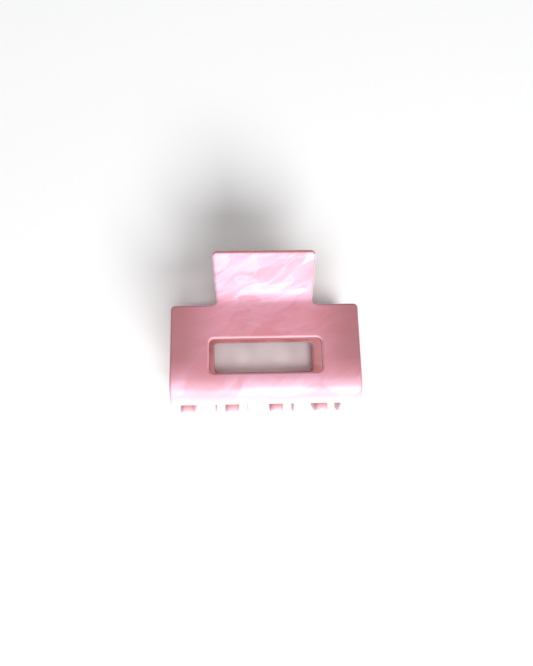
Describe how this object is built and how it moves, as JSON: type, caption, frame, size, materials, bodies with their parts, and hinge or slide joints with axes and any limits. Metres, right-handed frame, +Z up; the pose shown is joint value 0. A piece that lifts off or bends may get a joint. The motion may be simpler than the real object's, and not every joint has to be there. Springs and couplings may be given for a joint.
{
  "type": "claw clip",
  "caption": "Hair claw clip with bent plate jaws, each with a finger tab, a rectangular window and interlocking teeth, hinged on bonded lugs with a pin and a torsion spring.",
  "frame": {"origin": "on the surface that the clip lies on, under the middle of its box", "axes": "+X along the hinge, +Y from the teeth towards the finger tabs, +Z up from the surface, from the rear jaw to the front jaw"},
  "size_m": [0.0504, 0.0437, 0.0308],
  "materials": {
    "pearl_sheet": "polished pearl sheet, pink marbled with white",
    "pearl_lug": "pink pearl plastic, satin from cutting",
    "pin_steel": "drawn steel rod with riveted ends",
    "spring_steel": "bright spring wire"
  },
  "bodies": {
    "rear": {"rear_jaw": "pearl_sheet", "rear_lug_outer": "pearl_lug", "rear_lug_inner": "pearl_lug", "hinge_pin": "pin_steel", "torsion_spring": "spring_steel"},
    "front": {"front_jaw": "pearl_sheet", "front_lug_outer": "pearl_lug", "front_lug_inner": "pearl_lug"}
  },
  "joints": [
    {"name": "jaw_hinge", "type": "hinge", "parent": "rear", "child": "front", "pos_m": [0, 0.00898, 0.0154], "axis": [-1, 0, 0], "range_deg": [0, 85], "stiffness_Nm_per_rad": 0.05, "springref_deg": -45.84, "deforming": ["torsion_spring"]}
  ]
}
